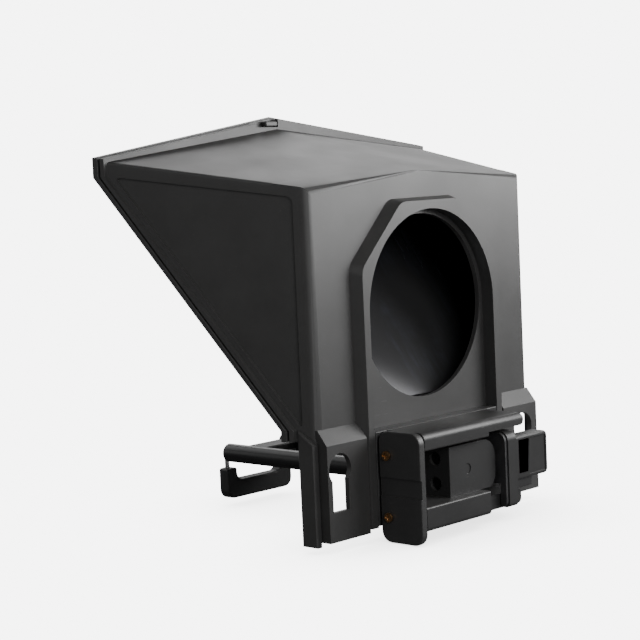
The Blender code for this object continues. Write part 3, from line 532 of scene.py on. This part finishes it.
# ---- finishes ------------------------------------------------------------------------------------
class Finish:
    """A named material. Each kind of surface below fills in its own shader."""

    name: str

    def material(self) -> bpy.types.Material:
        """Find the material, or make it.

        Returns:
            The material.
        """
        label = f"{self.name}_finish"
        found = bpy.data.materials.get(label)
        if found:
            return found
        made = bpy.data.materials.new(label)
        made.use_nodes = True
        sheet = NodeSheet(made.node_tree)
        shader = made.node_tree.nodes["Principled BSDF"]
        place = sheet.add("ShaderNodeTexCoord").outputs["Object"]
        self.shade(sheet, shader, place)
        return made

    def shade(self, sheet: NodeSheet, shader: bpy.types.Node, place: bpy.types.NodeSocket) -> None:
        """Fill the shader.

        Args:
            sheet: the material's node tree.
            shader: its Principled BSDF.
            place: the piece's own coordinates.
        """
        raise NotImplementedError

    @staticmethod
    def blend(sheet: NodeSheet, mask: bpy.types.NodeSocket, first: Colour | bpy.types.NodeSocket,
              second: Colour) -> bpy.types.NodeSocket:
        """Mix two colours by a mask.

        Args:
            sheet: the material's node tree.
            mask: 0 for the first colour and 1 for the second.
            first: a colour, or the socket of one.
            second: a colour.

        Returns:
            The mixed colour.
        """
        mix = sheet.add("ShaderNodeMix", data_type="RGBA")
        sheet.link(mask, mix.inputs["Factor"])
        if isinstance(first, bpy.types.NodeSocket):
            sheet.link(first, mix.inputs["A"])
        else:
            mix.inputs["A"].default_value = (*first, 1.0)
        mix.inputs["B"].default_value = (*second, 1.0)
        return mix.outputs["Result"]

    @staticmethod
    def relief(sheet: NodeSheet, shader: bpy.types.Node, height: bpy.types.NodeSocket, depth: float) -> None:
        """Give the shader a bump.

        Args:
            sheet: the material's node tree.
            shader: its Principled BSDF.
            height: the height's socket.
            depth: the height of the relief in metres.
        """
        bump = sheet.add("ShaderNodeBump")
        bump.inputs["Strength"].default_value = 1.0
        bump.inputs["Distance"].default_value = depth
        sheet.link(height, bump.inputs["Height"])
        sheet.link(bump.outputs["Normal"], shader.inputs["Normal"])


@dataclass(frozen=True)
class MouldedPlastic(Finish):
    """Near-black moulded plastic with a fine eroded skin."""

    name: str
    colour: Colour
    worn_colour: Colour
    roughness: Span
    grain: float = 3200.0
    depth: float = 0.000006
    marks: float = 0.4
    dust: float = 0.25
    specular: float = 0.5
    cloud_gain: float = 1.18
    rub_polish: float = 0.06
    dust_roughness: float = 0.5

    def shade(self, sheet: NodeSheet, shader: bpy.types.Node, place: bpy.types.NodeSocket) -> None:
        """Colour, roughness and relief from the eroded skin, with marks and dust over them.

        Args:
            sheet: the material's node tree.
            shader: its Principled BSDF.
            place: the piece's own coordinates.
        """
        skin = SparkTexture.place(sheet, place, grain_per_metre=self.grain)
        marks = HandlingMarks.place(sheet, place, amount=self.marks)
        dust = FineDust.place(sheet, place, amount=self.dust)
        cloudy = tuple(c * self.cloud_gain for c in self.colour)
        tone = self.blend(sheet, skin.outputs["Shade"], self.colour, cloudy)
        tone = self.blend(sheet, marks.outputs["Scuff"], tone, self.worn_colour)
        tone = self.blend(sheet, dust.outputs["Mask"], tone, DUST_COLOUR)
        sheet.link(tone, shader.inputs["Base Color"])
        smooth, rough = self.roughness
        base = sheet.span(skin.outputs["Sheen"], 0.0, 1.0, smooth, rough)
        polish = sheet.math("MULTIPLY", marks.outputs["Rub"], self.rub_polish)
        base = sheet.math("SUBTRACT", base, polish)
        dulled = sheet.math("MULTIPLY", dust.outputs["Mask"], self.dust_roughness)
        base = sheet.math("ADD", base, dulled, clamp=True)
        sheet.link(base, shader.inputs["Roughness"])
        shader.inputs["Specular IOR Level"].default_value = self.specular
        self.relief(sheet, shader, skin.outputs["Height"], self.depth)


@dataclass(frozen=True)
class SoftRubber(Finish):
    """Matt black rubber with a dry, slightly bloomed skin."""

    name: str
    colour: Colour = (0.010, 0.010, 0.011)
    bloom: Colour = (0.035, 0.035, 0.036)
    bloom_share: float = 0.5
    grain: float = 2100.0
    clouds: float = 60.0
    dust: float = 0.35
    roughness: Span = (0.55, 0.72)
    depth: float = 0.00002

    def shade(self, sheet: NodeSheet, shader: bpy.types.Node, place: bpy.types.NodeSocket) -> None:
        """A coarser skin, with pale bloom in patches.

        Args:
            sheet: the material's node tree.
            shader: its Principled BSDF.
            place: the piece's own coordinates.
        """
        skin = SparkTexture.place(sheet, place, grain_per_metre=self.grain, cloud_per_metre=self.clouds)
        dust = FineDust.place(sheet, place, amount=self.dust)
        patches = sheet.math("MULTIPLY", skin.outputs["Shade"], self.bloom_share)
        tone = self.blend(sheet, patches, self.colour, self.bloom)
        tone = self.blend(sheet, dust.outputs["Mask"], tone, DUST_COLOUR)
        sheet.link(tone, shader.inputs["Base Color"])
        sheet.link(sheet.span(skin.outputs["Sheen"], 0.0, 1.0, *self.roughness), shader.inputs["Roughness"])
        self.relief(sheet, shader, skin.outputs["Height"], self.depth)


@dataclass(frozen=True)
class CoatedTube(Finish):
    """Black semi-gloss coating over a drawn tube."""

    name: str
    colour: Colour = (0.012, 0.012, 0.013)
    line_gain: float = 1.5
    line_share: float = 0.6
    fine: float = 2600.0
    long: float = 40.0
    marks: float = 0.6
    roughness: Span = (0.30, 0.38)
    depth: float = 0.000004

    def shade(self, sheet: NodeSheet, shader: bpy.types.Node, place: bpy.types.NodeSocket) -> None:
        """Long faint draw lines under a coat, with handling marks.

        Args:
            sheet: the material's node tree.
            shader: its Principled BSDF.
            place: the piece's own coordinates.
        """
        lines = DrawnLines.place(sheet, place, fine_per_metre=self.fine, long_per_metre=self.long)
        marks = HandlingMarks.place(sheet, place, amount=self.marks)
        lined = sheet.math("MULTIPLY", lines.outputs["Tone"], self.line_share)
        tone = self.blend(sheet, lined, self.colour, tuple(c * self.line_gain for c in self.colour))
        tone = self.blend(sheet, marks.outputs["Scuff"], tone, SCUFF_COLOUR)
        sheet.link(tone, shader.inputs["Base Color"])
        sheet.link(sheet.span(lines.outputs["Tone"], 0.0, 1.0, *self.roughness), shader.inputs["Roughness"])
        self.relief(sheet, shader, lines.outputs["Height"], self.depth)


@dataclass(frozen=True)
class BrightMetal(Finish):
    """Bare metal with drawn lines and a little tarnish."""

    name: str
    colour: Colour
    tarnish: Colour
    roughness: Span
    groove_gain: float = 0.86
    tarnish_share: float = 0.55
    grain: float = 1500.0
    clouds: float = 420.0
    depth: float = 0.000003

    def shade(self, sheet: NodeSheet, shader: bpy.types.Node, place: bpy.types.NodeSocket) -> None:
        """Metal whose tone and roughness follow the lines, with tarnish in patches.

        Args:
            sheet: the material's node tree.
            shader: its Principled BSDF.
            place: the piece's own coordinates.
        """
        lines = DrawnLines.place(sheet, place)
        skin = SparkTexture.place(sheet, place, grain_per_metre=self.grain, cloud_per_metre=self.clouds)
        groove = tuple(c * self.groove_gain for c in self.colour)
        tone = self.blend(sheet, lines.outputs["Tone"], groove, self.colour)
        patches = sheet.math("MULTIPLY", skin.outputs["Sheen"], self.tarnish_share)
        tone = self.blend(sheet, patches, tone, self.tarnish)
        sheet.link(tone, shader.inputs["Base Color"])
        shader.inputs["Metallic"].default_value = 1.0
        smooth, rough = self.roughness
        sheet.link(sheet.span(skin.outputs["Sheen"], 0.0, 1.0, smooth, rough), shader.inputs["Roughness"])
        self.relief(sheet, shader, lines.outputs["Height"], self.depth)


@dataclass(frozen=True)
class HalfMirror(Finish):
    """Beam-splitter glass seen from its dark side, with faint smudges on its coat; its dark colour is
    painted shade for the dark inside of the hood.
    """

    name: str
    # Painted shade: this dark colour stands in for the shade inside the hood that the glass shows.
    colour: Colour = (0.060, 0.060, 0.062)
    wiped_colour: Colour = (0.090, 0.098, 0.125)
    dust_colour: Colour = (0.20, 0.20, 0.21)
    dust: float = 0.2
    streak_stretch: tuple[float, float, float] = (190.0, 36.0, 26.0)
    streak_span: Span = (0.42, 0.70)
    smudge_scale: float = 24.0
    smudge_span: Span = (0.45, 0.70)
    metallic: float = 0.55
    specular: float = 0.25
    roughness: Span = (0.20, 0.34)

    def shade(self, sheet: NodeSheet, shader: bpy.types.Node, place: bpy.types.NodeSocket) -> None:
        """A mirror coat darkened with painted shade, whose wiped streaks scatter what it reflects.

        Args:
            sheet: the material's node tree.
            shader: its Principled BSDF.
            place: the piece's own coordinates.
        """
        streaks = sheet.noise(sheet.stretch(place, self.streak_stretch), 1.0, 4.0, 0.6)
        smudge = sheet.span(sheet.noise(place, self.smudge_scale, 4.0, 0.6), *self.smudge_span)
        wiped = sheet.math("MULTIPLY", sheet.span(streaks, *self.streak_span), smudge)
        dust = FineDust.place(sheet, place, amount=self.dust)
        tone = self.blend(sheet, wiped, self.colour, self.wiped_colour)
        tone = self.blend(sheet, dust.outputs["Mask"], tone, self.dust_colour)
        sheet.link(tone, shader.inputs["Base Color"])
        shader.inputs["Metallic"].default_value = self.metallic
        shader.inputs["Specular IOR Level"].default_value = self.specular
        sheet.link(sheet.span(wiped, 0.0, 1.0, *self.roughness), shader.inputs["Roughness"])


@dataclass(frozen=True)
class CellFoam(Finish):
    """Black closed-cell foam strip."""

    name: str
    colour: Colour = (0.008, 0.008, 0.008)
    pore_gain: float = 0.4
    cells: float = 1800.0
    pore_span: Span = (0.1, 0.5)
    roughness: Span = (0.95, 0.8)
    depth: float = 0.0001

    def shade(self, sheet: NodeSheet, shader: bpy.types.Node, place: bpy.types.NodeSocket) -> None:
        """Open pores over a matt body.

        Args:
            sheet: the material's node tree.
            shader: its Principled BSDF.
            place: the piece's own coordinates.
        """
        cells = sheet.add("ShaderNodeTexVoronoi", feature="F1")
        sheet.link(place, cells.inputs["Vector"])
        cells.inputs["Scale"].default_value = self.cells
        pore = sheet.span(cells.outputs["Distance"], *self.pore_span)
        inside = tuple(c * self.pore_gain for c in self.colour)
        sheet.link(self.blend(sheet, pore, inside, self.colour), shader.inputs["Base Color"])
        sheet.link(sheet.span(pore, 0.0, 1.0, *self.roughness), shader.inputs["Roughness"])
        self.relief(sheet, shader, pore, self.depth)


class Surface(Enum):
    """The finishes of this object."""

    HOOD = MouldedPlastic("hood_plastic", (0.0310, 0.0308, 0.0305), SCUFF_COLOUR, (0.42, 0.50), marks=0.2)
    BEZEL = MouldedPlastic("bezel_plastic", (0.0270, 0.0270, 0.0270), SCUFF_COLOUR, (0.40, 0.48))
    CLAMP = MouldedPlastic("clamp_plastic", (0.0230, 0.0230, 0.0232), (0.09, 0.09, 0.09), (0.36, 0.44),
                           grain=4200.0, depth=0.000004, marks=0.6, specular=0.34)
    # End plate: the clamp's plastic made lighter. The extra lightness is painted light for light that the
    # lamps leave off the end plate.
    END_PLATE = MouldedPlastic("end_plate_plastic_painted_light", (0.0270, 0.0270, 0.0272), (0.07, 0.07, 0.072),
                               (0.40, 0.50), grain=4200.0, depth=0.000004, marks=0.6)
    HOOK = MouldedPlastic("hook_plastic", (0.0180, 0.0180, 0.0182), (0.06, 0.06, 0.06), (0.42, 0.55),
                          grain=2600.0)
    RUBBER = SoftRubber("grip_rubber")
    TUBE = CoatedTube("black_tube")
    STEEL = BrightMetal("bright_steel", (0.72, 0.72, 0.73), (0.38, 0.36, 0.34), (0.16, 0.34))
    BLACKENED = BrightMetal("blackened_steel", (0.060, 0.060, 0.062), (0.030, 0.028, 0.026), (0.28, 0.42))
    BRASS = BrightMetal("aged_brass", (0.60, 0.36, 0.17), (0.20, 0.10, 0.05), (0.24, 0.42))
    GLASS = HalfMirror("beam_splitter")
    FOAM = CellFoam("foam_strip")


# ---- sub-assemblies ------------------------------------------------------------------------------
WELD_DISTANCE = 0.000005
FLAT_ANGLE = math.radians(0.6)
ROUNDED_ANGLE = math.radians(32.0)
SMOOTH_ANGLE = math.radians(30.0)
FACE_WEIGHT = 100


def body_of_node(node: str) -> str:
    """Find the body that a node rides on.

    Args:
        node: the node's name.

    Returns:
        The body's name.
    """
    for body, nodes in frame["record"]["behaviour"]["bodies"].items():
        if node in nodes:
            return body
    raise KeyError(node)


def dress(node: str, surface: Surface) -> None:
    """Give a frame node its finish.

    Args:
        node: the node's name.
        surface: the finish.
    """
    piece = frame["nodes"][node]
    material = surface.value.material()
    piece.data.materials.clear()
    piece.data.materials.append(material)
    for slot in piece.material_slots:
        slot.material = material
    LOG.info("%s: %s", node, surface.name.lower())


def refine(node: str, surface: Surface, edge: float, steps: int = 3) -> None:
    """Replace a node by a copy whose edges are rounded as a mould rounds them.

    Args:
        node: the node's name.
        surface: the finish.
        edge: how far each rounding reaches in from its edge.
        steps: facets across a rounding.
    """
    mesh = frame["nodes"][node].data.copy()
    piece = bpy.data.objects.new(f"{node}_moulded", mesh)
    bpy.context.scene.collection.objects.link(piece)
    deselect()
    bpy.context.view_layer.objects.active = piece
    piece.select_set(True)
    bpy.ops.object.mode_set(mode="EDIT")
    bpy.ops.mesh.select_all(action="SELECT")
    bpy.ops.mesh.remove_doubles(threshold=WELD_DISTANCE)
    bpy.ops.mesh.dissolve_limited(angle_limit=FLAT_ANGLE)
    bpy.ops.object.mode_set(mode="OBJECT")
    bevel = piece.modifiers.new("edge_rounding", "BEVEL")
    bevel.width = edge
    bevel.segments = steps
    bevel.limit_method = "ANGLE"
    bevel.angle_limit = ROUNDED_ANGLE
    bevel.miter_outer = "MITER_ARC"
    bevel.use_clamp_overlap = True
    bpy.ops.object.modifier_apply(modifier=bevel.name)
    bpy.ops.object.shade_smooth_by_angle(angle=SMOOTH_ANGLE)
    even = piece.modifiers.new("even_shading", "WEIGHTED_NORMAL")
    even.keep_sharp = True
    even.weight = FACE_WEIGHT
    bpy.ops.object.modifier_apply(modifier=even.name)
    mesh.materials.clear()
    mesh.materials.append(surface.value.material())
    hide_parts(node)
    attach(piece, body_of_node(node))
    LOG.info("%s: %s, edges rounded %.2f mm", node, surface.name.lower(), edge * MM_PER_METRE)


@dataclass(frozen=True)
class Coil:
    """A compression spring of round wire with closed ends."""

    node: str
    start: Vector
    along: Vector
    length: float
    radius: float
    wire: float
    turns: int
    joint: str
    keep: float
    surface: Surface
    steps: int = 28
    sides: int = 12
    weld_distance: float = 0.000002
    smooth_angle: float = math.radians(60.0)

    def build(self) -> None:
        """Wind the wire and lay the coil along its axis."""
        deselect()
        bpy.ops.mesh.primitive_circle_add(vertices=self.sides, radius=self.wire, fill_type="NOTHING",
                                          location=(self.radius, 0.0, 0.0),
                                          rotation=(math.pi / 2, 0.0, 0.0))
        piece = bpy.context.object
        piece.name = f"{self.node}_coil"
        bpy.ops.object.transform_apply(location=True, rotation=True, scale=True)
        self.wind(piece)
        piece.rotation_euler = self.along.to_track_quat("Z", "Y").to_euler()
        piece.location = self.start
        bpy.ops.object.transform_apply(location=True, rotation=True, scale=True)
        bpy.ops.object.shade_smooth_by_angle(angle=self.smooth_angle)
        piece.data.materials.append(self.surface.value.material())
        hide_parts(self.node)
        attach(piece, body_of_node(self.node))
        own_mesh(piece)
        LOG.info("%s: %d turns of %.1f mm wire", self.node, self.turns, 2 * self.wire * MM_PER_METRE)

    def wind(self, piece: bpy.types.Object) -> None:
        """Sweep the wire's section along the coil and close both ends.

        Args:
            piece: the section, as a ring of edges.
        """
        screw = piece.modifiers.new("winding", "SCREW")
        screw.angle = math.tau
        screw.screw_offset = self.length / self.turns
        screw.iterations = self.turns
        screw.steps = screw.render_steps = self.steps
        screw.use_merge_vertices = True
        bpy.ops.object.modifier_apply(modifier=screw.name)
        bpy.ops.object.mode_set(mode="EDIT")
        bpy.ops.mesh.select_all(action="SELECT")
        bpy.ops.mesh.remove_doubles(threshold=self.weld_distance)
        bpy.ops.mesh.fill_holes(sides=0)
        bpy.ops.mesh.normals_make_consistent(inside=False)
        bpy.ops.object.mode_set(mode="OBJECT")


@dataclass
class Hood:
    """The hood, its side plate and screw, and what closes its slanted front."""

    shell_edge: float = 0.0006
    trim_edge: float = 0.0003

    def build(self) -> None:
        """Dress every piece of the hood."""
        refine("hood_shell", Surface.HOOD, self.shell_edge)
        refine("front_bezel", Surface.BEZEL, self.shell_edge)
        refine("side_plate", Surface.HOOD, self.trim_edge)
        refine("frame_latch", Surface.BEZEL, self.trim_edge, 2)
        refine("side_screw", Surface.TUBE, self.trim_edge, 2)
        dress("beam_splitter_glass", Surface.GLASS)
        dress("glass_gasket", Surface.FOAM)
        for row in ("upper", "lower"):
            for side in ("left", "right"):
                refine(f"glass_clip_{row}_{side}", Surface.BEZEL, self.trim_edge, 2)


@dataclass
class Cradle:
    """The sprung cradle on its two tubes."""

    tube_x: float = 0.0212
    tube_z: float = 0.0287
    spring_seat_y: float = -0.0648
    spring_length: float = 0.0756
    coil_radius: float = 0.0026
    wire_radius: float = 0.0003
    turns: int = 13
    travel: float = 0.045
    trim_edge: float = 0.0004

    def build(self) -> None:
        """Dress every piece of the cradle and wind its springs."""
        refine("cradle_mount", Surface.HOOD, self.trim_edge)
        refine("cradle_cross_plate", Surface.BEZEL, self.trim_edge)
        refine("hook_bar", Surface.HOOK, self.trim_edge)
        for side, sign in (("left", 1.0), ("right", -1.0)):
            refine(f"cradle_tube_{side}", Surface.TUBE, self.trim_edge, 2)
            refine(f"tube_bush_{side}", Surface.BEZEL, self.trim_edge, 2)
            refine(f"rod_collar_{side}", Surface.STEEL, self.trim_edge, 2)
            dress(f"hook_rod_{side}", Surface.STEEL)
            self.spring(side, sign).build()

    def spring(self, side: str, sign: float) -> Coil:
        """Describe one return spring, which bears on the bush at the front of its tube.

        Args:
            side: the side's name.
            sign: its sign along X.

        Returns:
            The spring.
        """
        return Coil(f"return_spring_{side}", Vector((sign * self.tube_x, self.spring_seat_y, self.tube_z)),
                    Vector((0.0, 1.0, 0.0)), self.spring_length, self.coil_radius, self.wire_radius,
                    self.turns, "hook_slide", 1.0 - self.travel / self.spring_length, Surface.STEEL)


@dataclass
class RearClamp:
    """The sprung clamp in the lower end of the adapter slot."""

    edge: float = 0.0005
    soft_edge: float = 0.0009
    trim_edge: float = 0.0003
    screw_edge: float = 0.00012
    guide_y: float = 0.0646
    spring_seat_x: float = -0.0004
    spring_length: float = 0.0140
    coil_radius: float = 0.0023
    wire_radius: float = 0.0003
    turns: int = 6
    travel: float = 0.010
    rows: tuple[tuple[str, float], ...] = (("lower", 0.0239), ("upper", 0.0361))

    def build(self) -> None:
        """Dress every piece of the clamp."""
        refine("clamp_frame", Surface.CLAMP, self.edge)
        refine("clamp_foot", Surface.CLAMP, self.trim_edge)
        refine("clamp_end_plate", Surface.END_PLATE, self.edge)
        refine("clamp_jaw", Surface.CLAMP, self.soft_edge, 4)
        refine("jaw_pad", Surface.RUBBER, self.trim_edge)
        for row, height in self.rows:
            refine(f"end_screw_{row}", Surface.BRASS, self.screw_edge, 2)
            refine(f"rail_screw_{row}", Surface.STEEL, self.screw_edge, 2)
            refine(f"guide_rod_{row}", Surface.BLACKENED, self.screw_edge, 2)
            refine(f"guide_collar_{row}", Surface.BLACKENED, self.screw_edge, 2)
            self.spring(row, height).build()

    def spring(self, row: str, height: float) -> Coil:
        """Describe one jaw spring, which bears on the end of its bore in the tongue.

        Args:
            row: the row's name.
            height: the guide rod's height.

        Returns:
            The spring.
        """
        return Coil(f"jaw_spring_{row}", Vector((self.spring_seat_x, self.guide_y, height)),
                    Vector((1.0, 0.0, 0.0)), self.spring_length, self.coil_radius, self.wire_radius,
                    self.turns, "jaw_slide", 1.0 - self.travel / self.spring_length, Surface.BLACKENED)


def main() -> None:
    """Build the sub-assemblies in order, then the studio."""
    logging.basicConfig(level=logging.INFO, format="%(name)s: %(message)s")
    Hood().build()
    Cradle().build()
    RearClamp().build()
    Studio().build()


if __name__ == "__main__":
    main()
